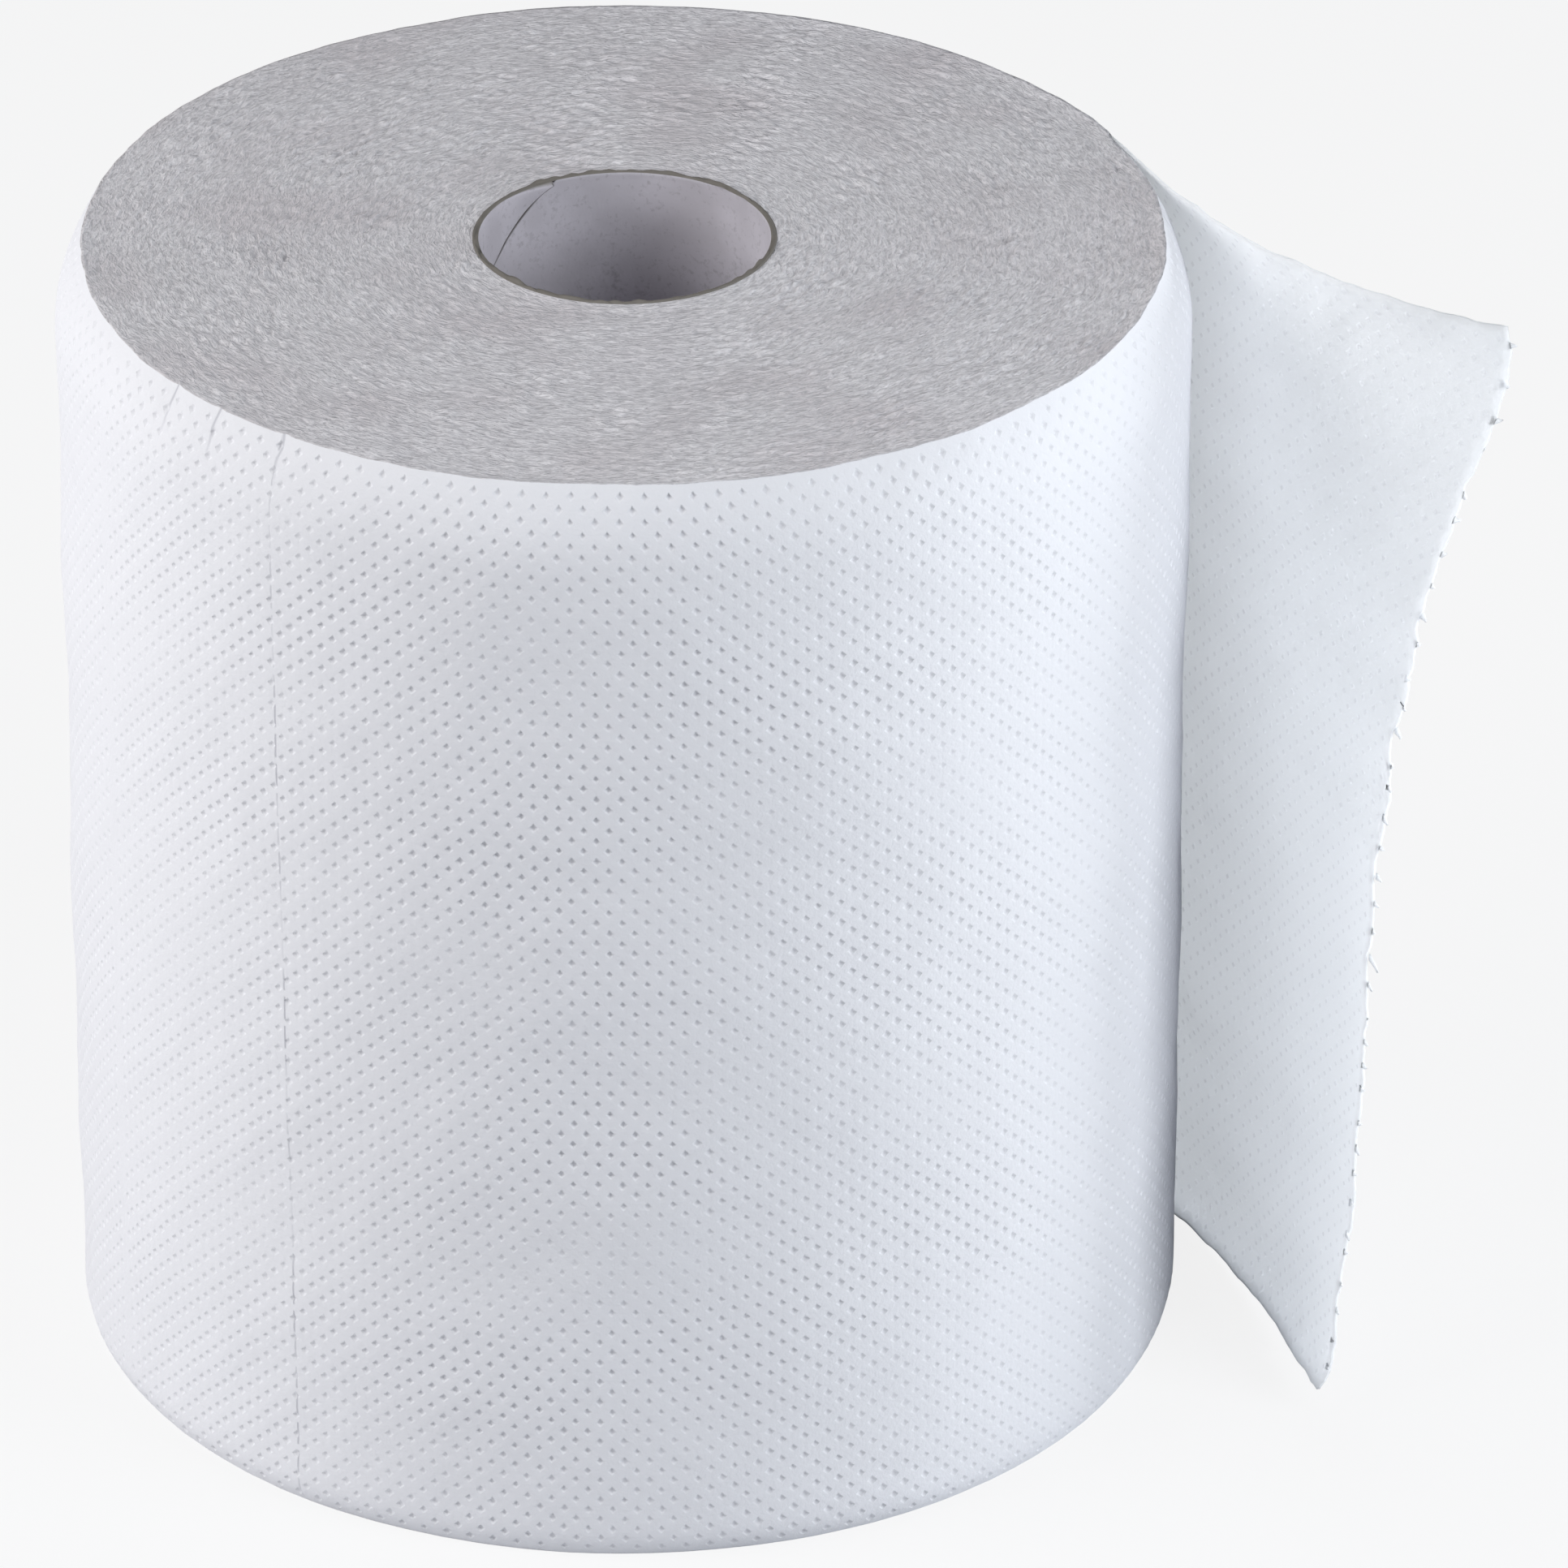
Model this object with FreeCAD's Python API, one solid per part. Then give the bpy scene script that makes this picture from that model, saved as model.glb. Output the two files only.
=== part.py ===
"""Paper towel roll: a towel web wound on a cardboard core, with its free tail standing off the roll.

Lengths are in millimetres and angles in degrees. The roll stands on its end: the core's axis is
+Z and the origin is on that axis, in the plane that the roll stands on. Seen from above, the web
runs clockwise as it winds outwards.
"""
import FreeCAD, Part
import math
import os

# Core: a tube of spiral-wound cardboard, with the seam between its strips open inside
core_bore = 50.0
core_wall = 1.0
seam_lead = 112.0
seam_width = 0.7
seam_depth = 0.3
seam_mouth_angle = 119.0

# Roll: the wound part of the web, cut to width together with its core
sheet_width = 205.0
roll_diameter = 195.0
core_glue_gap = 0.05
paper_loft = 0.6

# Outer edges of the roll, where the last turns are drawn in
top_edge_inset = 4.4
top_edge_height = 15.0
foot_edge_inset = 1.5
foot_edge_height = 5.0

# Turns at the ends of the roll: one coarse spiral stands for the bundled edges of the real turns
bundle_pitch = 9.0
bundle_step = 0.6
bundle_margin = 4.0

# Tail: the last sheet, from the line where it leaves the roll to its torn end
tail_length = 99.0
tail_leaves_at = 25.0
tail_turn_top = 36.0
tail_turn_middle = -3.0
tail_turn_foot = -8.0
tail_sway_foot = 6.0
tail_flare_power = 4
tail_curl_power = 6
tail_sway_power = 2
tail_root_lap = 7.0
tail_root_sink = 0.3
tail_strides = 8
tail_levels = [0, 0.15, 0.4, 0.65, 0.82]

roll_radius = roll_diameter / 2
core_length = sheet_width
core_radius = core_bore / 2 + core_wall
web_bore_radius = core_radius + core_glue_gap
overcut = 1.0


def polar(radius, angle, z=0.0):
    """Point at a radius from the roll's axis, at an angle from +X towards +Y."""
    turn = math.radians(angle)
    return FreeCAD.Vector(radius * math.cos(turn), radius * math.sin(turn), z)


def drawn_in_edge(radius, inset, height, end_z, inward):
    """Arc from the end face to the side, which it meets in line; inward is +1 at the foot, -1 at the top."""
    arc_radius = (height ** 2 + inset ** 2) / (2 * inset)
    half_height = height / 2
    half_inset = arc_radius - math.sqrt(arc_radius ** 2 - half_height ** 2)
    return Part.Arc(
        FreeCAD.Vector(radius - inset, 0, end_z),
        FreeCAD.Vector(radius - half_inset, 0, end_z + inward * half_height),
        FreeCAD.Vector(radius, 0, end_z + inward * height)).toShape()


def half_roll(outer_radius, start_angle):
    """Half a turn of the roll, from outer_radius at start_angle in to half a loft less opposite it."""
    radius = outer_radius - paper_loft / 4
    foot = drawn_in_edge(radius, foot_edge_inset, foot_edge_height, 0, 1)
    top = drawn_in_edge(radius, top_edge_inset, top_edge_height, sheet_width, -1)
    side = Part.makeLine(
        FreeCAD.Vector(radius, 0, foot_edge_height),
        FreeCAD.Vector(radius, 0, sheet_width - top_edge_height))
    inside = Part.makePolygon([
        FreeCAD.Vector(radius - top_edge_inset, 0, sheet_width),
        FreeCAD.Vector(0, 0, sheet_width),
        FreeCAD.Vector(0, 0, 0),
        FreeCAD.Vector(radius - foot_edge_inset, 0, 0)])
    profile = Part.Face(Part.Wire([foot, side, top] + inside.Edges))
    half = profile.revolve(FreeCAD.Vector(), FreeCAD.Vector(0, 0, 1), 180)
    half.rotate(FreeCAD.Vector(), FreeCAD.Vector(0, 0, 1), start_angle)
    half.translate(polar(paper_loft / 4, start_angle))
    return half


def bundle_teeth(first_radius, teeth, start_angle, end_z, outward):
    """Half a turn of the waste above the bundles, each of which falls by a step towards the core.

    Its axis lies a quarter of the pitch towards start_angle, so that the half turns on the two
    sides of the roll meet as one spiral. outward is +1 at the top and -1 at the foot.
    """
    radius = first_radius - bundle_pitch / 4
    outline = [FreeCAD.Vector(radius, 0, end_z + outward * overcut)]
    for tooth in range(teeth):
        edge = radius - bundle_pitch * tooth
        outline.append(FreeCAD.Vector(edge, 0, end_z))
        outline.append(FreeCAD.Vector(edge - bundle_pitch, 0, end_z - outward * bundle_step))
    outline.append(FreeCAD.Vector(radius - bundle_pitch * teeth, 0, end_z + outward * overcut))
    outline.append(outline[0])
    waste = Part.Face(Part.Wire(Part.makePolygon(outline).Edges))
    waste = waste.revolve(FreeCAD.Vector(), FreeCAD.Vector(0, 0, 1), 180)
    waste.rotate(FreeCAD.Vector(), FreeCAD.Vector(0, 0, 1), start_angle)
    waste.translate(polar(bundle_pitch / 4, start_angle))
    return waste


def bundle_spiral(end_z, outward):
    """Both halves of the waste above the bundles at one end of the roll."""
    outermost = roll_radius - top_edge_inset - bundle_margin
    innermost = web_bore_radius + bundle_margin
    half_turns = int(2 * (outermost - innermost) / bundle_pitch) - 2
    return [
        bundle_teeth(outermost, (half_turns + 1) // 2, tail_leaves_at, end_z, outward),
        bundle_teeth(outermost - bundle_pitch / 2, half_turns // 2, tail_leaves_at + 180, end_z, outward)]


def tail_heading(along, up):
    """Heading of the tail, along its length and up its height, both from 0 to 1.

    The powers say how near to the top and the foot the tail's flare, curl and sway set in.
    """
    turn = tail_turn_middle
    turn += (tail_turn_top - tail_turn_middle) * up ** tail_flare_power
    turn += (tail_turn_foot - tail_turn_middle) * (1 - up) ** tail_curl_power
    sway = tail_sway_foot * (1 - up) ** tail_sway_power * math.sin(2 * math.pi * along)
    return tail_leaves_at - 90 + turn * math.sin(math.pi / 2 * along) ** 2 + sway


def tail_root(z):
    """Point where the middle of the tail's paper starts, sunk in the last turn of the roll."""
    drawn_in = max(0.0, 1 - (sheet_width - z) / top_edge_height) ** 2 * top_edge_inset
    drawn_in += max(0.0, 1 - z / foot_edge_height) ** 2 * foot_edge_inset
    radius = roll_radius - paper_loft / 2 - tail_root_sink - drawn_in
    lap_angle = math.degrees(tail_root_lap / roll_radius)
    return polar(radius, tail_leaves_at + lap_angle, z)


def tail_section(z):
    """Section of the tail at height z: both faces of the paper, the root and the torn end."""
    stride = (tail_length + tail_root_lap) / tail_strides
    middle = tail_root(z)
    face_out = []
    face_in = []
    for step in range(tail_strides + 1):
        heading = tail_heading(max(0.0, step * stride - tail_root_lap) / tail_length, z / sheet_width)
        across = polar(paper_loft / 2, heading + 90)
        face_out.append(middle + across)
        face_in.append(middle - across)
        middle = middle + polar(stride, heading)
    outer = Part.BSplineCurve()
    outer.interpolate(face_out)
    inner = Part.BSplineCurve()
    inner.interpolate(face_in)
    return Part.Wire([
        outer.toShape(),
        Part.makeLine(face_out[-1], face_in[-1]),
        inner.toShape(),
        Part.makeLine(face_in[0], face_out[0])])


def make_tail():
    """Free end of the web: one curved sheet that flares away from the roll towards its top."""
    heights = [level * sheet_width for level in tail_levels]
    heights += [sheet_width - top_edge_height / 2, sheet_width]
    return Part.makeLoft([tail_section(height) for height in heights], True, False)


def make_towel_web():
    """Wound turns and tail: one continuous web of towel."""
    web = half_roll(roll_radius, tail_leaves_at)
    web = web.fuse(half_roll(roll_radius - paper_loft / 2, tail_leaves_at + 180))
    web = web.fuse(make_tail())
    bore = Part.makeCylinder(web_bore_radius, sheet_width + 2 * overcut, FreeCAD.Vector(0, 0, -overcut))
    return web.cut([bore] + bundle_spiral(sheet_width, 1) + bundle_spiral(0, -1)).removeSplitter()


def core_seam():
    """Left-hand helical slot in the core's bore, as long as the core and a little more at each end."""
    radius = core_bore / 2
    run = core_length + 2 * overcut
    helix = Part.makeHelix(seam_lead, run, radius)
    slot = Part.Wire(Part.makePolygon([
        FreeCAD.Vector(radius - seam_depth, 0, -seam_width / 2),
        FreeCAD.Vector(radius + seam_depth, 0, -seam_width / 2),
        FreeCAD.Vector(radius + seam_depth, 0, seam_width / 2),
        FreeCAD.Vector(radius - seam_depth, 0, seam_width / 2),
        FreeCAD.Vector(radius - seam_depth, 0, -seam_width / 2)]))
    seam = Part.Wire(helix).makePipeShell([slot], True, True)
    seam = seam.mirror(FreeCAD.Vector(), FreeCAD.Vector(0, 1, 0))
    seam.translate(FreeCAD.Vector(0, 0, -overcut))
    mouth = seam_mouth_angle + 360 * (core_length + overcut) / seam_lead
    seam.rotate(FreeCAD.Vector(), FreeCAD.Vector(0, 0, 1), mouth)
    return seam


def make_core_tube():
    """Cardboard tube that the web is wound on."""
    outside = Part.makeCylinder(core_radius, core_length)
    bore = Part.makeCylinder(core_bore / 2, core_length + 2 * overcut, FreeCAD.Vector(0, 0, -overcut))
    return outside.cut([bore, core_seam()])


os.makedirs("parts", exist_ok=True)
make_towel_web().exportStep("parts/towel_web.step")
make_core_tube().exportStep("parts/core_tube.step")
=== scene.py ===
import math

import bpy
import numpy as np
from mathutils import Matrix, Vector


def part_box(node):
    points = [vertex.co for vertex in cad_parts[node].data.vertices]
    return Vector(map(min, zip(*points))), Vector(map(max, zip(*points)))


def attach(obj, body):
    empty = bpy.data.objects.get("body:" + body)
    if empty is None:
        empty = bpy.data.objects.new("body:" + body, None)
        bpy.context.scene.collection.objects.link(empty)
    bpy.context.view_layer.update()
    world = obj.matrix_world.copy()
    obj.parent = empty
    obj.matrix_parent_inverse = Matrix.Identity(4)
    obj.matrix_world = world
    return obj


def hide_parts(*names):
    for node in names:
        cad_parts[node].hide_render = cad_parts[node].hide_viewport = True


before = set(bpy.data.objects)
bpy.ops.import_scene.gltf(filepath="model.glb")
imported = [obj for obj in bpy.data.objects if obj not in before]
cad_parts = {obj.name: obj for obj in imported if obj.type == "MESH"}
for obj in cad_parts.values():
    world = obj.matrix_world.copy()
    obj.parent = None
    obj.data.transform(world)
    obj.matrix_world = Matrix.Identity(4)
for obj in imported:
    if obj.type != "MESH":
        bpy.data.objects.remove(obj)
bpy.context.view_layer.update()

# Sizes in metres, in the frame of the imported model
MM = 0.001
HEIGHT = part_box("towel_web")[1][2]
ROLL_RADIUS = 97.5 * MM
GIRTH = 2 * math.pi * ROLL_RADIUS
CORE_RADIUS = (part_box("core_tube")[1][0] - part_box("core_tube")[0][0]) / 2
CORE_WALL = 1.0 * MM
LOFT = 0.6 * MM
TOP_INSET = 4.4 * MM
TOP_INSET_HEIGHT = 15.0 * MM
FOOT_INSET = 1.5 * MM
FOOT_INSET_HEIGHT = 5.0 * MM

# Tail: where it leaves the roll, its length, how it turns, and how far its end is out of square
TAIL_LEAVES_AT = math.radians(25)
TAIL_LENGTH = 99.0 * MM
TAIL_TURN_TOP = math.radians(42)
TAIL_TURN_MIDDLE = math.radians(-3.5)
TAIL_TURN_FOOT = math.radians(-12.5)
TAIL_SWAY_FOOT = math.radians(3.5)
TAIL_FLARE_POWER = 5.2
TAIL_CURL_POWER = 4.6
TAIL_TURN_LAG = 6.6 * MM
TAIL_FOOT_LIFT = 5.2 * MM
TAIL_TOP_DROP = 3.0 * MM
TAIL_STEPS = 160
TAIL_FREE_REACH = 30.0 * MM
TAIL_CUT_REACH = 1.9 * MM

# Embossing: a lattice of small sunk lozenges, two to a cell
CELL_AROUND = 4.2 * MM
CELL_UP = 3.9 * MM
DOT_RIM = 0.86 * MM
DOT_FLOOR = 0.42 * MM
DOT_DEPTH = 0.30 * MM
DOT_SCATTER = 0.05 * MM
DOT_SIZE_SCATTER = 0.07
LAND_RISE = 0.07 * MM
ROWS = int(round(HEIGHT / (CELL_UP / 2)))
TAIL_OUTER_RELIEF = 0.6
TAIL_INNER_RELIEF = -0.35

# Unevenness of the paper: strength of each random field, and how far from an edge it fades
SIDE_SWELL = 0.17 * MM
SIDE_RIPPLE = 0.05 * MM
SIDE_FADE = 15.0 * MM
RIM_WANDER = 0.17 * MM
RIM_FRAY = 0.07 * MM
FOOT_RIM_SHARE = 0.3
TOP_RIM_FADE = 14.0 * MM
FOOT_RIM_FADE = 8.0 * MM
TAIL_SWELL = 0.5 * MM
TAIL_RIPPLE = 0.12 * MM
TAIL_CUT_FRAY = 0.13 * MM
TORN_FRAY = 0.35 * MM

# Perforations: one sheet apart, counted from the torn end
SHEET_LENGTH = 225.9 * MM
SLIT_PITCH = 5.6 * MM
PERFORATION_LEAN = 0.0133

# Creases in the last turn where it is drawn in at the top: their places along the web
CREASES = (325.9 * MM, 337.8 * MM, 353.2 * MM)
CREASE_REACH = 9.0 * MM
CREASE_WIDTH = 1.3 * MM
CREASE_DEPTH = 0.45 * MM
CREASE_DEPTH_AT_END = 0.40 * MM

# Tufts of the torn bonds; one of them, at a share of the height, is long
TUFT_ROOT = 0.6 * MM
TUFT_HALF_THICKNESS = 0.15 * MM
TUFT_POINTS = 5
LONG_TUFT = 3.0 * MM
LONG_TUFT_AT = 0.44

# Wound edges at the ends of the roll
BUNDLE_PITCH = 9.0 * MM
BUNDLE_STEP = 0.10 * MM
STREAK_HEIGHT = 0.11 * MM
END_SWELL = 0.25 * MM
END_SUNK = 0.1 * MM
END_FADE = 2.5 * MM
END_TURNS = 680
END_RINGS = 124
TOP_PROUD = 0.08 * MM
SKIRT_INSET = 0.45 * MM
SKIRT_REACH = 1.5 * MM

# Core: seam of the inner ply, which winds down from its mouth at the top edge
SEAM_LEAD = 112.0 * MM
SEAM_WIDTH = 0.7 * MM
SEAM_DEPTH = 0.3 * MM
SEAM_MOUTH = math.radians(119)
LIP_CURL = 0.9 * MM
LIP_HEIGHT = 5.0 * MM
LIP_SPREAD = 0.42
LIP_DROP = 0.5 * MM
CORE_LAP = 2.0 * MM
GLUE_GAP = 0.05 * MM

# Burrs on the core's cut edge: place and width in degrees, and rise in millimetres
BURRS = ((48, 3.0, 0.45), (35, 2.0, 0.35), (222, 3.0, 0.30), (335, 2.5, 0.40), (150, 4.0, 0.25))

rng = np.random.default_rng(7)


def wave_field(waves, shortest, longest):
    """Smooth random field of unit strength: plane waves with wavelengths in the given range."""
    direction = rng.normal(size=(waves, 3))
    direction /= np.linalg.norm(direction, axis=1)[:, None]
    length = np.exp(rng.uniform(math.log(shortest), math.log(longest), waves))
    phase = rng.uniform(0, 2 * math.pi, waves)
    vectors = direction * (2 * math.pi / length)[:, None]

    def field(*coords):
        total = 0
        for vector, shift in zip(vectors, phase):
            total = total + np.sin(sum(c * v for c, v in zip(coords, vector)) + shift)
        return total * math.sqrt(2.0 / waves)

    return field


side_swell = wave_field(14, 30 * MM, 90 * MM)
side_ripple = wave_field(24, 8 * MM, 22 * MM)
rim_wander = wave_field(16, 18 * MM, 60 * MM)
rim_fray = wave_field(24, 4.5 * MM, 9 * MM)
dot_strength = wave_field(10, 20 * MM, 70 * MM)
end_swell = wave_field(16, 25 * MM, 80 * MM)
end_streak = wave_field(90, 1.2 * MM, 2.6 * MM)
end_patch = wave_field(20, 12 * MM, 40 * MM)
core_cut = wave_field(16, 2 * MM, 14 * MM)


def polar_points(radius, angle, z):
    """Points at a radius and an angle about the roll's axis, at height z."""
    return np.stack([radius * np.cos(angle), radius * np.sin(angle), z + 0 * angle], axis=-1)


def drawn_in(z):
    """How far the last turns are drawn in at height z, at the roll's top and foot edges."""
    total = 0
    for inset, reach, from_end in (
            (TOP_INSET, TOP_INSET_HEIGHT, HEIGHT - z), (FOOT_INSET, FOOT_INSET_HEIGHT, z)):
        arc_radius = (reach ** 2 + inset ** 2) / (2 * inset)
        inside = np.clip(reach - from_end, 0, reach)
        total = total + arc_radius - np.sqrt(arc_radius ** 2 - inside ** 2)
    return total


def rim_shift(angle, level):
    """Unevenness of the roll's edge at an end, in metres."""
    x, y = ROLL_RADIUS * np.cos(angle), ROLL_RADIUS * np.sin(angle)
    strength = 1.0 if level > 0 else FOOT_RIM_SHARE
    return strength * (RIM_WANDER * rim_wander(x, y, level) + RIM_FRAY * rim_fray(x, y, level))


def crease_dent(along):
    """Depth of the creases across the web, as a share of their full depth, summed over them."""
    return sum(np.exp(-((along - crease) / CREASE_WIDTH) ** 2) for crease in CREASES)


def roll_surface(along, z, raised):
    """Point of the roll's outer face, along the web from where the tail leaves it."""
    angle = TAIL_LEAVES_AT + along / ROLL_RADIUS
    x, y = ROLL_RADIUS * np.cos(angle), ROLL_RADIUS * np.sin(angle)
    near_top = np.clip(1 - (HEIGHT - z) / TOP_RIM_FADE, 0, 1) ** 2
    near_foot = np.clip(1 - z / FOOT_RIM_FADE, 0, 1) ** 2
    free = np.clip(np.minimum(along, GIRTH - along) / SIDE_FADE, 0, 1)
    swell = SIDE_SWELL * side_swell(x, y, 1.6 * z) + SIDE_RIPPLE * side_ripple(x, y, 1.4 * z)
    swell = swell * free * (1 - near_top) * (1 - near_foot)
    radius = ROLL_RADIUS - LOFT * along / GIRTH - drawn_in(z) + swell + raised
    radius = radius + near_top * rim_shift(angle, HEIGHT) + near_foot * rim_shift(angle, 0.0)
    crease_share = np.clip(1 - (HEIGHT - z) / CREASE_REACH, 0, 1)
    return polar_points(radius - CREASE_DEPTH * crease_dent(along) * crease_share, angle, z)


def tail_frame(along, z):
    """Middle of the tail's paper and its outward direction; along is 0 where it leaves the roll."""
    up = z / HEIGHT
    turn = TAIL_TURN_MIDDLE + (TAIL_TURN_TOP - TAIL_TURN_MIDDLE) * up ** TAIL_FLARE_POWER
    turn = turn + (TAIL_TURN_FOOT - TAIL_TURN_MIDDLE) * (1 - up) ** TAIL_CURL_POWER
    sway = TAIL_SWAY_FOOT * (1 - up) ** 2
    start = ROLL_RADIUS - LOFT / 2 - drawn_in(z)
    x = start * math.cos(TAIL_LEAVES_AT)
    y = start * math.sin(TAIL_LEAVES_AT)
    stride = along / TAIL_STEPS
    for step in range(TAIL_STEPS):
        part = np.clip((stride * (step + 0.5) - TAIL_TURN_LAG) / TAIL_LENGTH, 0, 1)
        heading = TAIL_LEAVES_AT - math.pi / 2 + turn * np.sin(math.pi / 2 * part) ** 2
        heading = heading + sway * np.sin(2 * math.pi * part)
        x = x + stride * np.cos(heading)
        y = y + stride * np.sin(heading)
    out_of_square = TAIL_FOOT_LIFT * (1 - up) ** 2 - TAIL_TOP_DROP * up ** 2
    return x, y, z + (along / TAIL_LENGTH) ** 2 * out_of_square, heading + math.pi / 2


def tail_surface(along, z, raised, face):
    """Point of the tail's outer face, or of its inner face where face is -1."""
    x, y, height, outward = tail_frame(along, z)
    free = np.clip(along / TAIL_FREE_REACH, 0, 1)
    wave = TAIL_SWELL * side_swell(along, 2 * z, 0.3)
    wave = wave + TAIL_RIPPLE * side_ripple(along, 1.5 * z, 0.3)
    cut = np.clip(1 - np.minimum(z, HEIGHT - z) / TAIL_CUT_REACH, 0, 1) * free
    height = height + cut * TAIL_CUT_FRAY * rim_fray(along, z, 0.0)
    across = free * wave + face * (LOFT / 2 + raised)
    return np.stack([x + across * np.cos(outward), y + across * np.sin(outward), height], axis=-1)


def build_mesh(name, points, quads, triangles=None, ring=None, **attributes):
    """Smooth object from arrays of points and faces, with one number per point for each attribute.

    Points that no face uses are left out. Edges that join two points of a lozenge's rim, where ring
    is 1, are marked as sharp.
    """
    triangles = np.zeros((0, 3), dtype=np.int64) if triangles is None else triangles
    used, corners = np.unique(
        np.concatenate([quads.ravel(), triangles.ravel()]), return_inverse=True)
    mesh = bpy.data.meshes.new(name)
    mesh.vertices.add(len(used))
    mesh.vertices.foreach_set("co", np.ascontiguousarray(points[used], dtype=np.float32).ravel())
    mesh.loops.add(len(corners))
    mesh.loops.foreach_set("vertex_index", corners.astype(np.int32))
    starts = np.concatenate([
        np.arange(len(quads)) * 4,
        len(quads) * 4 + np.arange(len(triangles)) * 3]).astype(np.int32)
    mesh.polygons.add(len(starts))
    mesh.polygons.foreach_set("loop_start", starts)
    mesh.polygons.foreach_set("use_smooth", np.ones(len(starts), dtype=bool))
    mesh.update(calc_edges=True)
    for attribute_name, values in attributes.items():
        layer = mesh.attributes.new(attribute_name, "FLOAT", "POINT")
        layer.data.foreach_set("value", np.ascontiguousarray(values[used], dtype=np.float32))
    if ring is not None:
        ends = np.empty(len(mesh.edges) * 2, dtype=np.int32)
        mesh.edges.foreach_get("vertices", ends)
        on_rim = (ring[used] == 1)[ends].reshape(-1, 2).all(axis=1)
        mesh.attributes.new("sharp_edge", "BOOLEAN", "EDGE").data.foreach_set("value", on_rim)
    obj = bpy.data.objects.new(name, mesh)
    bpy.context.scene.collection.objects.link(obj)
    return obj


def lozenge_sheet(first_column, last_column, rows):
    """Lattice of sunk lozenges: where its points lie on the web, how sunk they are, and its faces.

    Lattice points whose column and row add up to an even number hold a lozenge, and the others are
    the corners that neighbouring lozenges share. Rows and columns at the sheet's edges have none.
    """
    columns = last_column - first_column
    i, j = np.meshgrid(np.arange(columns + 1), np.arange(rows + 1), indexing="ij")
    node = i * (rows + 1) + j
    half_around, half_up = CELL_AROUND / 2, HEIGHT / rows
    even = (i + first_column + j) % 2 == 0
    inner = (i > 0) & (i < columns) & (j > 0) & (j < rows)
    ci, cj = i[even & inner], j[even & inner]
    count = len(ci)
    centre_a = (ci + first_column) * half_around + rng.normal(0, DOT_SCATTER, count)
    centre_u = cj * half_up + rng.normal(0, DOT_SCATTER, count)
    size = 1 + rng.normal(0, DOT_SIZE_SCATTER, count)
    base = node.size
    along, up = [((i + first_column) * half_around).ravel()], [(j * half_up).ravel()]
    ring = np.concatenate([np.zeros(base, dtype=int), np.repeat([1, 2], 4 * count)])
    for reach in (DOT_RIM, DOT_FLOOR):
        along.append((centre_a[:, None] + size[:, None] * reach * np.array([1, 0, -1, 0])).ravel())
        up.append((centre_u[:, None] + size[:, None] * reach * np.array([0, 1, 0, -1])).ravel())
    corner = np.stack(
        [node[ci + 1, cj], node[ci, cj + 1], node[ci - 1, cj], node[ci, cj - 1]], axis=1)
    rim = base + np.arange(4 * count).reshape(count, 4)
    floor = rim + 4 * count
    quads = [floor]
    for outer, inside in ((corner, rim), (rim, floor)):
        around = [outer, np.roll(outer, -1, axis=1), np.roll(inside, -1, axis=1), inside]
        quads.append(np.stack(around, axis=2).reshape(-1, 4))
    triangles = []
    ei, ej = i[even & ~inner], j[even & ~inner]
    for step_i, step_j in ((1, 0), (-1, 0), (0, 1), (0, -1)):
        a_i, a_j, b_i, b_j = ei + step_i, ej + step_j, ei - step_j, ej + step_i
        fits = (np.minimum(a_i, b_i) >= 0) & (np.maximum(a_i, b_i) <= columns)
        fits &= (np.minimum(a_j, b_j) >= 0) & (np.maximum(a_j, b_j) <= rows)
        triangles.append(np.stack(
            [node[ei[fits], ej[fits]], node[a_i[fits], a_j[fits]], node[b_i[fits], b_j[fits]]],
            axis=1))
    land = (~even).ravel() & inner.ravel()
    return {
        "along": np.concatenate(along), "up": np.concatenate(up), "ring": ring,
        "land": np.concatenate([land, np.zeros(8 * count, dtype=bool)]),
        "quads": np.concatenate(quads), "triangles": np.concatenate(triangles)}


def relief(sheet, x, y, share):
    """Height of the embossing at the sheet's points, which varies a little over the web."""
    strength = np.clip(1 + 0.2 * dot_strength(x, y, sheet["up"]), 0.5, 1.4)
    return share * strength * (LAND_RISE * sheet["land"] - DOT_DEPTH * (sheet["ring"] == 2))


def make_wrap(name, first_share, last_share):
    """Part of the roll's outer turn, from one share of its girth to another."""
    half_cells = GIRTH / (CELL_AROUND / 2)
    sheet = lozenge_sheet(round(half_cells * first_share), round(half_cells * last_share), ROWS)
    angle = sheet["along"] / ROLL_RADIUS
    raised = relief(sheet, ROLL_RADIUS * np.cos(angle), ROLL_RADIUS * np.sin(angle), 1.0)
    points = roll_surface(sheet["along"], sheet["up"], raised)
    return build_mesh(
        name, points, sheet["quads"], sheet["triangles"], ring=sheet["ring"],
        web_along=sheet["along"], web_up=sheet["up"], web_sunk=sheet["ring"] == 2)


def border_loop(columns, rows):
    """Lattice points around the edge of a sheet, in order."""
    node = np.arange((columns + 1) * (rows + 1)).reshape(columns + 1, rows + 1)
    return np.concatenate([node[:-1, 0], node[-1, :-1], node[:0:-1, -1], node[0, :0:-1]])


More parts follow.
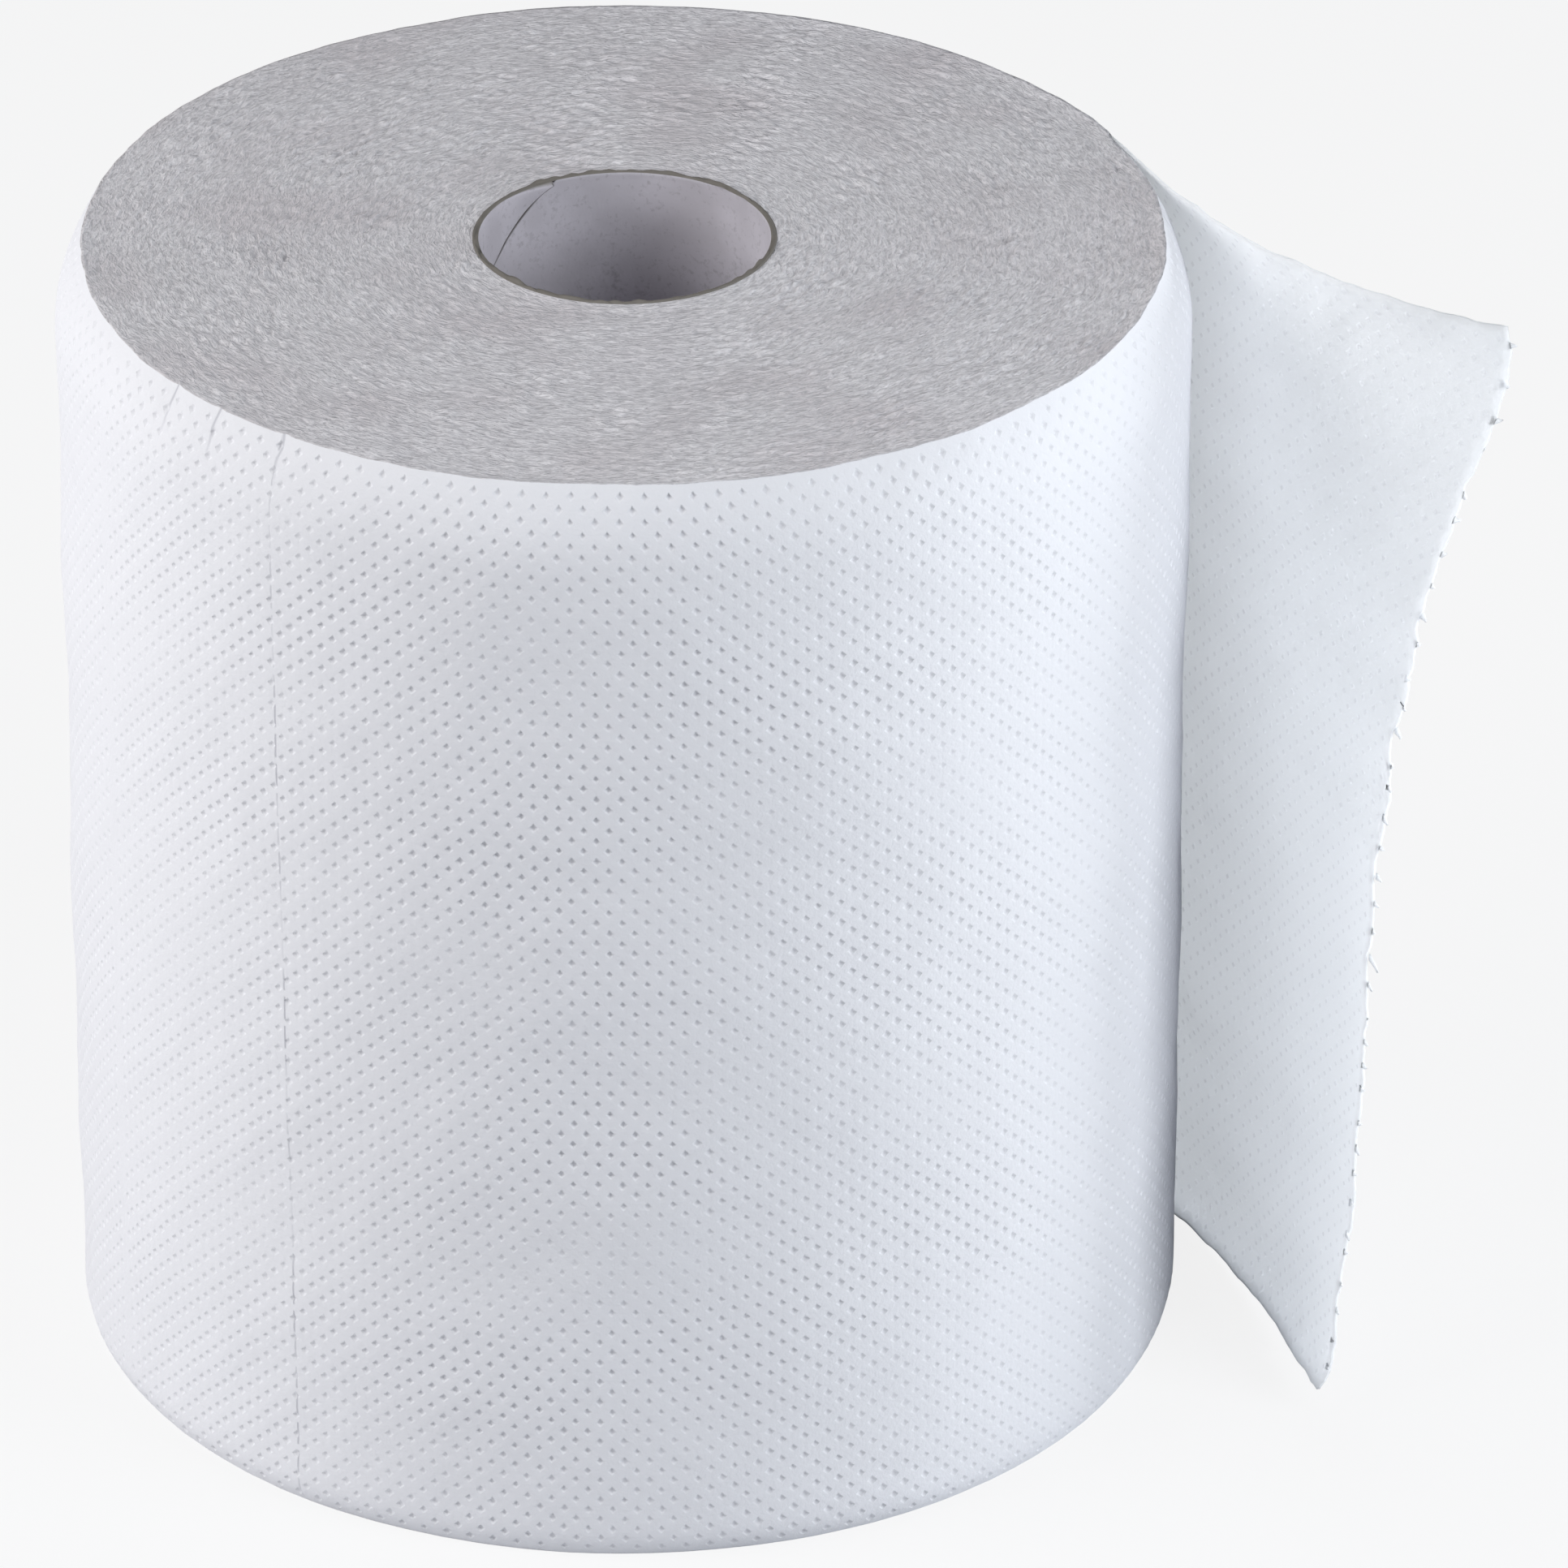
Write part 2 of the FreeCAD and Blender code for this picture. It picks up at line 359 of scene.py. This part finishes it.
def make_torn_bonds():
    """Frayed ends of the bonds between sheets, as flat tufts along the tail's torn end."""
    alongs, ups, sides, quads = [], [], [], []
    spine = np.linspace(0, 1, TUFT_POINTS)
    offset = 0
    for height in np.arange(SLIT_PITCH, HEIGHT - 3 * MM, SLIT_PITCH):
        centre = height + rng.normal(0, 0.5 * MM)
        length = rng.uniform(0.5, 1.5) * MM
        if abs(height - LONG_TUFT_AT * HEIGHT) < SLIT_PITCH / 2:
            length = LONG_TUFT
        half = rng.uniform(0.40, 0.70) * MM
        lean = rng.uniform(-0.6, 0.6) * length
        width = half * (1 - spine) ** 0.7 + 0.10 * MM * rng.uniform(0.2, 1, TUFT_POINTS)
        for edge in (1, -1):
            line = centre + lean * spine ** 2 + edge * width + rng.normal(0, 0.06 * MM, TUFT_POINTS)
            for side in (1, -1):
                alongs.append(TAIL_LENGTH - TUFT_ROOT + (length + TUFT_ROOT) * spine)
                ups.append(line)
                sides.append(np.full(TUFT_POINTS, side))
        corner = offset + TUFT_POINTS * np.array([0, 1, 3, 2])
        for step in range(TUFT_POINTS - 1):
            for face in range(4):
                a, b = corner[face] + step, corner[(face + 1) % 4] + step
                quads.append([a, b, b + 1, a + 1])
        quads.append(corner[::-1])
        quads.append(corner + TUFT_POINTS - 1)
        offset += 4 * TUFT_POINTS
    along, up = np.concatenate(alongs), np.concatenate(ups)
    x, y, height, outward = tail_frame(along, up)
    across = TUFT_HALF_THICKNESS * np.concatenate(sides)
    points = np.stack([x + across * np.cos(outward), y + across * np.sin(outward), height], axis=-1)
    return build_mesh(
        "torn_bonds", points, np.array(quads), web_along=-along, web_up=up, web_sunk=0 * along)


def make_tail():
    """Free end of the web, embossed through both faces."""
    half_cells = int(round(TAIL_LENGTH / (CELL_AROUND / 2)))
    stretch = TAIL_LENGTH / (half_cells * CELL_AROUND / 2)
    points, quads, triangles, rings, alongs, ups, sunks = [], [], [], [], [], [], []
    offset = 0
    for face, share in ((1, TAIL_OUTER_RELIEF), (-1, TAIL_INNER_RELIEF)):
        sheet = lozenge_sheet(0, half_cells, ROWS)
        along = sheet["along"] * stretch
        at_end = np.clip(along / TAIL_LENGTH * half_cells - half_cells + 1, 0, 1)
        ragged = at_end * TORN_FRAY * rim_fray(0.0, 0.0, sheet["up"])
        raised = relief(sheet, along, 0.0, share)
        points.append(tail_surface(along + ragged, sheet["up"], raised, face))
        order = slice(None, None, -1) if face > 0 else slice(None)
        quads.append(sheet["quads"][:, order] + offset)
        triangles.append(sheet["triangles"][:, order] + offset)
        rings.append(sheet["ring"])
        alongs.append(-along)
        ups.append(sheet["up"])
        sunks.append(sheet["ring"] == 2)
        offset += len(along)
    border = border_loop(half_cells, ROWS)
    second = border + len(alongs[0])
    quads.append(np.stack([border, np.roll(border, -1), np.roll(second, -1), second], axis=1))
    return build_mesh(
        "towel_tail", np.concatenate(points), np.concatenate(quads), np.concatenate(triangles),
        ring=np.concatenate(rings), web_along=np.concatenate(alongs), web_up=np.concatenate(ups),
        web_sunk=np.concatenate(sunks))


def polar_grid(rings, turns):
    """Quads of a closed polar grid of so many rings of points, wound to face up or inwards."""
    ring = np.arange(turns)
    quads = []
    for step in range(rings - 1):
        a = step * turns + ring
        b = step * turns + (ring + 1) % turns
        quads.append(np.stack([a, a + turns, b + turns, b], axis=1))
    return np.concatenate(quads)


def end_relief(radius, angle, outer, level):
    """Height of the wound edges at an end of the roll: bundles, wavy streaks and soft swells."""
    x, y = radius * np.cos(angle), radius * np.sin(angle)
    turn = (angle - TAIL_LEAVES_AT) % (2 * math.pi) / (2 * math.pi)
    bundle = ((ROLL_RADIUS - radius) / BUNDLE_PITCH - turn) % 1.0
    streak = end_streak(0.40 * x, 0.40 * y, radius + 0.9 * MM * end_patch(x, y, level))
    patch = np.clip(0.75 + 0.35 * end_patch(x, y, level + 0.1), 0.2, 1.5)
    height = -BUNDLE_STEP * bundle + STREAK_HEIGHT * streak * patch
    height = height + END_SWELL * end_swell(x, y, level)
    from_rim = np.clip((outer - radius) / END_FADE, 0, 1)
    from_core = np.clip((radius - CORE_RADIUS) / END_FADE, 0, 1)
    return (height - END_SUNK) * from_rim * from_core


def make_end(name, top):
    """End of the roll: the edges of all its turns, from the core to the drawn-in rim."""
    level, sign, inset, proud = 0.0, -1, FOOT_INSET, 0.0
    if top:
        level, sign, inset, proud = HEIGHT, 1, TOP_INSET, TOP_PROUD
    angle = (np.arange(END_TURNS) * 2 * math.pi / END_TURNS)[None, :]
    along = ((angle - TAIL_LEAVES_AT) % (2 * math.pi)) * ROLL_RADIUS
    outer = ROLL_RADIUS - LOFT * along / GIRTH - inset + rim_shift(angle, level) + proud
    if top:
        outer = outer - CREASE_DEPTH_AT_END * crease_dent(along)
    inner = CORE_RADIUS + GLUE_GAP
    radius = inner + (outer - inner) * np.linspace(0, 1, END_RINGS)[:, None]
    z = np.maximum(level + sign * end_relief(radius, angle, outer, level), 0.0)
    z[-1] = level + sign * 0.4 * proud
    skirt = polar_points(outer - SKIRT_INSET, angle, level - sign * SKIRT_REACH)
    points = np.concatenate([polar_points(radius, angle, z).reshape(-1, 3), skirt.reshape(-1, 3)])
    quads = polar_grid(END_RINGS + 1, END_TURNS)
    return build_mesh(name, points, quads if top else quads[:, ::-1])


def make_core():
    """Cardboard tube with the open seam of its inner ply, whose corner curls in at the top edge."""
    bore = CORE_RADIUS - CORE_WALL
    half = SEAM_WIDTH * math.pi / SEAM_LEAD
    wide = np.linspace(half * 1.6, 2 * math.pi - half * 1.6, 220)
    offsets = np.concatenate([[-half, -half * 0.8, 0, half * 0.8, half], wide])
    sunk = np.concatenate([[0, 1, 1, 1, 0], np.zeros(len(wide))])
    # dark marks the seam, which is coloured as board under painted shade
    dark = np.concatenate([[0, 1, 1, 1, 1], np.zeros(len(wide))])
    turns = len(offsets)
    levels = np.concatenate([
        np.linspace(0, HEIGHT - 8 * MM, 66), np.linspace(HEIGHT - 7.5 * MM, HEIGHT, 16)])
    # The lowest ring stands just above the foot, where a ring of the cut face already is
    levels[0] = 0.02 * MM
    points, seams, cuts = [], [], []
    foot_angle = SEAM_MOUTH + 2 * math.pi * HEIGHT / SEAM_LEAD + offsets
    for radius, z in ((CORE_RADIUS, CORE_LAP), (CORE_RADIUS, 0.0), (bore + SEAM_DEPTH * sunk, 0.0)):
        points.append(polar_points(radius, foot_angle, z))
        seams.append(0 * dark)
        cuts.append(1 + 0 * dark)
    beside_seam = np.clip(1 - (offsets - half) / LIP_SPREAD, 0, 1) ** 1.5 * (offsets >= half * 0.99)
    for z in levels:
        angle = SEAM_MOUTH + 2 * math.pi * (HEIGHT - z) / SEAM_LEAD + offsets
        lip = np.clip(1 - (HEIGHT - z) / LIP_HEIGHT, 0, 1) ** 2 * beside_seam
        radius = bore + SEAM_DEPTH * sunk - LIP_CURL * lip
        points.append(polar_points(radius, angle, z - LIP_DROP * lip))
        seams.append(dark)
        cuts.append(0 * dark)
    angle = SEAM_MOUTH + offsets
    x, y = CORE_RADIUS * np.cos(angle), CORE_RADIUS * np.sin(angle)
    rough = core_cut(x, y, 0.0)
    fold = 0.3 * MM * core_cut(x, y, 0.05)
    burr = 0
    for place, width, rise in BURRS:
        off = (np.degrees(angle) - place + 180) % 360 - 180
        burr = burr + rise * MM * np.exp(-(off / width) ** 2)
    # Rings over the cut edge, from the bore to the outside: radius, and height above the roll
    for radius, rise in (
            (bore + 0.02 * MM - 0.4 * burr, 0.02 * MM + 0.8 * burr),
            (bore + 0.22 * MM + 0.3 * fold - 0.3 * burr, 0.20 * MM * (1 + 0.7 * rough) + burr),
            (CORE_RADIUS - 0.40 * MM + 0.3 * fold, 0.06 * MM * (1 + rough) + 0.3 * burr),
            (CORE_RADIUS - 0.20 * MM + 0.3 * fold, 0.24 * MM * (1 - 0.7 * rough)),
            (CORE_RADIUS + 0.02 * MM, 0.0),
            (CORE_RADIUS, -CORE_LAP)):
        points.append(polar_points(radius, angle, HEIGHT + rise))
        seams.append(0 * dark)
        cuts.append(1 + 0 * dark)
    return build_mesh(
        "card_core", np.concatenate(points), polar_grid(len(points), turns),
        card_seam=np.concatenate(seams), card_cut=np.concatenate(cuts))


def link_value(tree, socket, value):
    """Feed a socket from another node's output, or set its own number."""
    if isinstance(value, bpy.types.NodeSocket):
        tree.links.new(value, socket)
    else:
        socket.default_value = value


def math_of(tree, operation, *values):
    """Result of one sum on numbers or other nodes' outputs."""
    made = tree.nodes.new("ShaderNodeMath")
    made.operation = operation
    for socket, value in zip(made.inputs, values):
        link_value(tree, socket, value)
    return made.outputs["Value"]


def ranged(tree, value, low, high, to_low, to_high):
    """Value mapped from one range to another, and held at its ends."""
    made = tree.nodes.new("ShaderNodeMapRange")
    link_value(tree, made.inputs["Value"], value)
    for name, number in (
            ("From Min", low), ("From Max", high), ("To Min", to_low), ("To Max", to_high)):
        made.inputs[name].default_value = number
    return made.outputs["Result"]


def attribute(tree, name):
    """Number that the mesh holds at each point under that name."""
    made = tree.nodes.new("ShaderNodeAttribute")
    made.attribute_name = name
    return made.outputs["Fac"]


def noise(tree, vector, scale, detail, roughness=0.5, distortion=0.0):
    """Smooth noise from 0 to 1, with so many cells to a metre."""
    made = tree.nodes.new("ShaderNodeTexNoise")
    tree.links.new(vector, made.inputs["Vector"])
    for name, number in (
            ("Scale", scale), ("Detail", detail), ("Roughness", roughness),
            ("Distortion", distortion)):
        made.inputs[name].default_value = number
    return made.outputs["Fac"]


def mixed(tree, factor, first, second):
    """Colour between two others."""
    made = tree.nodes.new("ShaderNodeMix")
    made.data_type = "RGBA"
    link_value(tree, made.inputs[0], factor)
    for socket, colour in ((made.inputs[6], first), (made.inputs[7], second)):
        is_socket = isinstance(colour, bpy.types.NodeSocket)
        link_value(tree, socket, colour if is_socket else (*colour, 1))
    return made.outputs[2]


def bumped(tree, height, strength, distance):
    """Normal of the surface with a height laid over it."""
    made = tree.nodes.new("ShaderNodeBump")
    made.inputs["Strength"].default_value = strength
    made.inputs["Distance"].default_value = distance
    tree.links.new(height, made.inputs["Height"])
    return made.outputs["Normal"]


def new_material(name, roughness):
    """Material with one Principled shader for a dull surface, its node tree and that shader."""
    material = bpy.data.materials.new(name)
    material.use_nodes = True
    shader = material.node_tree.nodes["Principled BSDF"]
    shader.inputs["Roughness"].default_value = roughness
    shader.inputs["Specular IOR Level"].default_value = 0.2
    return material, material.node_tree, shader


# Colours of the towel, of its wound edges and of the core's card
PAPER = (0.85, 0.85, 0.88)
# Floor colour of the sunk lozenges: painted shade, greyer than the paper
PAPER_FLOOR_SHADE = (0.77, 0.77, 0.80)
PAPER_THIN = (0.81, 0.835, 0.885)
# Floor colour of the thin paper's sunk lozenges: painted shade
PAPER_THIN_FLOOR_SHADE = (0.69, 0.71, 0.76)
# Painted shade in the perforation slits and the creases' bottoms
PAPER_SLIT_AND_CREASE_SHADE = (0.60, 0.60, 0.64)
EDGE_PALE = (0.84, 0.82, 0.84)
# Painted shade for the low places between the streaks on the roll's ends
EDGE_GROOVE_SHADE = (0.50, 0.485, 0.505)
EDGE_WARM = (0.74, 0.70, 0.72)
CARD_PALE = (0.56, 0.535, 0.58)
CARD_SPECK = (0.41, 0.39, 0.42)
CARD_BROWN = (0.20, 0.185, 0.165)
# Seam colour: the bare board beneath, darkened further by painted shade in the groove
CARD_SEAM_BOARD_AND_SHADE = (0.10, 0.09, 0.085)


def perforation_slits(tree, coords, along, up):
    """Strength of the slits between the bonds of a perforation line, from 0 to 1; they are darkened
    with painted shade.
    """
    leaning = math_of(tree, "ADD", along, math_of(tree, "MULTIPLY", up, PERFORATION_LEAN))
    from_torn = math_of(tree, "ADD", leaning, TAIL_LENGTH - PERFORATION_LEAN * HEIGHT)
    off_line = math_of(tree, "PINGPONG", from_torn, SHEET_LENGTH / 2)
    line = ranged(tree, off_line, 0.10 * MM, 0.26 * MM, 1.0, 0.0)
    off_bond = math_of(tree, "PINGPONG", up, SLIT_PITCH / 2)
    slit = math_of(tree, "MULTIPLY", line, ranged(tree, off_bond, 0.5 * MM, 0.8 * MM, 0.0, 1.0))
    slit = math_of(tree, "MULTIPLY", slit, ranged(tree, from_torn, 2 * MM, 3 * MM, 0.0, 1.0))
    uneven = noise(tree, coords, scale=60.0, detail=0.0)
    return math_of(tree, "MULTIPLY", slit, ranged(tree, uneven, 0.40, 0.60, 0.25, 1.0))


def rim_creases(tree, coords, along, up):
    """Strength of the creases' sharp bottoms, darkened with painted shade, which fade out below the
    roll's top edge.
    """
    around_zero = math_of(tree, "SUBTRACT", noise(tree, coords, scale=260.0, detail=0.0), 0.5)
    wavy = math_of(tree, "ADD", along, math_of(tree, "MULTIPLY", around_zero, 1.2 * MM))
    strongest = 0.0
    for crease in CREASES:
        off = math_of(tree, "ABSOLUTE", math_of(tree, "SUBTRACT", wavy, crease))
        sharp = ranged(tree, off, 0.12 * MM, 0.42 * MM, 1.0, 0.0)
        strongest = math_of(tree, "MAXIMUM", strongest, sharp)
    fading = ranged(tree, up, HEIGHT - CREASE_REACH, HEIGHT - 2 * MM, 0.0, 0.9)
    return math_of(tree, "MULTIPLY", strongest, fading)


def paper_material(name, thin):
    """Embossed towel paper, greyer in its lozenges by painted shade, with slits where its sheets
    part and crease bottoms, both darkened by painted shade.
    """
    material, tree, shader = new_material(name, 0.9)
    coords = tree.nodes.new("ShaderNodeTexCoord").outputs["Object"]
    along, up = attribute(tree, "web_along"), attribute(tree, "web_up")
    slit = perforation_slits(tree, coords, along, up)
    slit = math_of(tree, "MAXIMUM", slit, rim_creases(tree, coords, along, up))
    fibre = noise(tree, coords, scale=1300.0, detail=2.0, roughness=0.65)
    mottle = noise(tree, coords, scale=220.0, detail=1.0, roughness=0.6)
    # Painted shade: the sunk lozenges' floors get the greyer floor colour, varied by the mottle
    floor = ranged(tree, attribute(tree, "web_sunk"), 0.55, 1.0, 0.0, 1.0)
    floor_shade_share = math_of(tree, "MULTIPLY", floor, ranged(tree, mottle, 0.3, 0.7, 0.6, 1.0))
    plain, floor_shade_colour = (PAPER_THIN, PAPER_THIN_FLOOR_SHADE) if thin else (PAPER, PAPER_FLOOR_SHADE)
    colour = mixed(tree, floor_shade_share, plain, floor_shade_colour)
    # Painted shade: slits and crease bottoms take the dark slit colour
    colour = mixed(tree, slit, colour, PAPER_SLIT_AND_CREASE_SHADE)
    tree.links.new(colour, shader.inputs["Base Color"])
    grain = math_of(tree, "ADD", fibre, math_of(tree, "MULTIPLY", mottle, 0.8))
    height = math_of(tree, "SUBTRACT", grain, slit)
    tree.links.new(bumped(tree, height, 0.35, 0.25 * MM), shader.inputs["Normal"])
    if thin:
        shader.inputs["Subsurface Weight"].default_value = 1.0
        shader.inputs["Subsurface Radius"].default_value = (1.0, 1.0, 1.0)
        shader.inputs["Subsurface Scale"].default_value = 7.0 * MM
    return material


def end_material():
    """Edges of the wound turns: fine fibres that run around the roll, with faint warm patches, and
    painted shade in the low places between the streaks.
    """
    material, tree, shader = new_material("towel_edges", 0.95)
    coords = tree.nodes.new("ShaderNodeTexCoord").outputs["Object"]
    split = tree.nodes.new("ShaderNodeSeparateXYZ")
    tree.links.new(coords, split.inputs["Vector"])
    x, y = split.outputs["X"], split.outputs["Y"]
    square = math_of(tree, "ADD", math_of(tree, "MULTIPLY", x, x), math_of(tree, "MULTIPLY", y, y))
    wander = math_of(tree, "MULTIPLY", noise(tree, coords, scale=90.0, detail=1.0), 4 * MM)
    radius = math_of(tree, "ADD", math_of(tree, "SQRT", square), wander)
    join = tree.nodes.new("ShaderNodeCombineXYZ")
    stretched = (math_of(tree, "MULTIPLY", x, 0.34), math_of(tree, "MULTIPLY", y, 0.34), radius)
    for socket, value in zip(join.inputs, stretched):
        tree.links.new(value, socket)
    vector = join.outputs["Vector"]
    streak = noise(tree, vector, scale=1500.0, detail=2.0, roughness=0.6, distortion=0.6)
    fine = noise(tree, vector, scale=3200.0, detail=1.0, roughness=0.6)
    height = math_of(tree, "ADD", streak, math_of(tree, "MULTIPLY", fine, 0.5))
    tone = ranged(tree, height, 0.52, 0.98, 0.0, 1.0)
    warm = ranged(tree, noise(tree, coords, scale=45.0, detail=1.0), 0.45, 0.7, 0.0, 1.0)
    pale = mixed(tree, warm, EDGE_PALE, EDGE_WARM)
    # Painted shade: the lower the streaks' bump height, the nearer the colour goes to the dark edge
    # colour
    tree.links.new(mixed(tree, tone, EDGE_GROOVE_SHADE, pale), shader.inputs["Base Color"])
    tree.links.new(bumped(tree, height, 0.9, 0.45 * MM), shader.inputs["Normal"])
    return material


def card_material():
    """Grey lining paper with fine specks inside, brown board where it is cut, and near-black in the
    seam, where the board shows and painted shade darkens it further.
    """
    material, tree, shader = new_material("core_card", 0.8)
    coords = tree.nodes.new("ShaderNodeTexCoord").outputs["Object"]
    fine = noise(tree, coords, scale=900.0, detail=2.0, roughness=0.7)
    speck = ranged(tree, fine, 0.52, 0.72, 0.0, 1.0)
    cloud = ranged(tree, noise(tree, coords, scale=130.0, detail=1.0), 0.35, 0.65, 0.0, 0.35)
    shade = math_of(tree, "MAXIMUM", math_of(tree, "MULTIPLY", speck, 0.8), cloud)
    colour = mixed(tree, shade, CARD_PALE, CARD_SPECK)
    colour = mixed(tree, attribute(tree, "card_cut"), colour, CARD_BROWN)
    # Seam: board colour with painted shade
    colour = mixed(tree, attribute(tree, "card_seam"), colour, CARD_SEAM_BOARD_AND_SHADE)
    tree.links.new(colour, shader.inputs["Base Color"])
    height = noise(tree, coords, scale=500.0, detail=2.0, roughness=0.6)
    tree.links.new(bumped(tree, height, 0.3, 0.3 * MM), shader.inputs["Normal"])
    return material


def floor_material():
    """Pale floor that shows the lamps' shadows and fades to white for the camera."""
    material, tree, shader = new_material("floor", 0.9)
    shader.inputs["Base Color"].default_value = (0.64, 0.65, 0.67, 1)
    glow = tree.nodes.new("ShaderNodeEmission")
    mix = tree.nodes.new("ShaderNodeMixShader")
    seen = tree.nodes.new("ShaderNodeLightPath").outputs["Is Camera Ray"]
    tree.links.new(math_of(tree, "MULTIPLY", seen, 0.85), mix.inputs["Fac"])
    tree.links.new(shader.outputs["BSDF"], mix.inputs[1])
    tree.links.new(glow.outputs["Emission"], mix.inputs[2])
    tree.links.new(mix.outputs["Shader"], tree.nodes["Material Output"].inputs["Surface"])
    return material


wraps = [make_wrap("wrap_first_half", 0.0, 0.5), make_wrap("wrap_second_half", 0.5, 1.0)]
tail = make_tail()
bonds = make_torn_bonds()
ends = [make_end("roll_top", True), make_end("roll_foot", False)]
core = make_core()

finishes = [
    (wraps, paper_material("towel_paper", False)),
    ([tail, bonds], paper_material("towel_paper_thin", True)),
    (ends, end_material()), ([core], card_material())]
for pieces, material in finishes:
    for piece in pieces:
        piece.data.materials.append(material)

for piece in (*wraps, tail, bonds, *ends):
    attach(piece, "root")
    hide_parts("towel_web")
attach(core, "root")
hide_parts("core_tube")

# Floor
FLOOR_REACH = 6.0
floor_mesh = bpy.data.meshes.new("floor")
floor_mesh.from_pydata(
    [(sx * FLOOR_REACH, sy * FLOOR_REACH, 0) for sx, sy in ((-1, -1), (1, -1), (1, 1), (-1, 1))],
    [], [(0, 1, 2, 3)])
floor_mesh.materials.append(floor_material())
floor = bpy.data.objects.new("floor", floor_mesh)
bpy.context.scene.collection.objects.link(floor)

# Camera, at the photograph's angle
PHOTO_SIZE = 1932
FOCAL_PIXELS = 15125
CAMERA_DISTANCE = 22 * ROLL_RADIUS
CAMERA_UP = math.radians(28.57)
CAMERA_TILT = math.radians(0.096)
CAMERA_PAN = math.radians(0.832)
CAMERA_ROLL = math.radians(0.104)


def facing(position, forward, roll=0.0):
    """World matrix of a camera or lamp that looks along forward, turned by roll about it."""
    forward = Vector(forward).normalized()
    right = forward.cross(Vector((0, 0, 1))).normalized()
    up = right.cross(forward)
    turned = Matrix((
        math.cos(roll) * right + math.sin(roll) * up,
        math.cos(roll) * up - math.sin(roll) * right,
        -forward)).transposed()
    return Matrix.Translation(position) @ turned.to_4x4()


camera_data = bpy.data.cameras.new("camera")
camera_data.sensor_width = 36.0
camera_data.lens = FOCAL_PIXELS / PHOTO_SIZE * camera_data.sensor_width
camera_data.clip_end = 20.0
camera = bpy.data.objects.new("camera", camera_data)
bpy.context.scene.collection.objects.link(camera)
down = CAMERA_UP + CAMERA_TILT
camera.matrix_world = facing(
    (0, -CAMERA_DISTANCE * math.cos(CAMERA_UP), HEIGHT / 2 + CAMERA_DISTANCE * math.sin(CAMERA_UP)),
    (math.sin(CAMERA_PAN) * math.cos(down), math.cos(CAMERA_PAN) * math.cos(down), -math.sin(down)),
    CAMERA_ROLL)
bpy.context.scene.camera = camera

# Lamps and world: name, place, size, power and colour of each soft lamp
LAMPS = [
    ("left_softbox", (-1.24, -0.29, 0.84), (1.2, 0.9), 18.6, (0.985, 0.98, 0.975)),
    ("right_softbox", (0.71, -0.46, 0.61), (0.50, 0.55), 5.9, (0.93, 0.97, 1.0)),
    ("tail_softbox", (1.25, 0.38, 0.06), (0.9, 0.6), 14.2, (0.92, 0.96, 1.0))]
for name, place, size, power, colour in LAMPS:
    lamp_data = bpy.data.lights.new(name, "AREA")
    lamp_data.shape = "RECTANGLE"
    lamp_data.size, lamp_data.size_y = size
    lamp_data.energy = power
    lamp_data.color = colour
    lamp = bpy.data.objects.new(name, lamp_data)
    lamp.matrix_world = facing(place, Vector((0, 0, HEIGHT / 2)) - Vector(place))
    bpy.context.scene.collection.objects.link(lamp)

world = bpy.data.worlds.new("studio")
world.use_nodes = True
background = world.node_tree.nodes["Background"]
background.inputs["Color"].default_value = (0.87, 0.90, 1.0, 1)
background.inputs["Strength"].default_value = 0.14
bpy.context.scene.world = world
bpy.context.scene.view_settings.view_transform = "Standard"
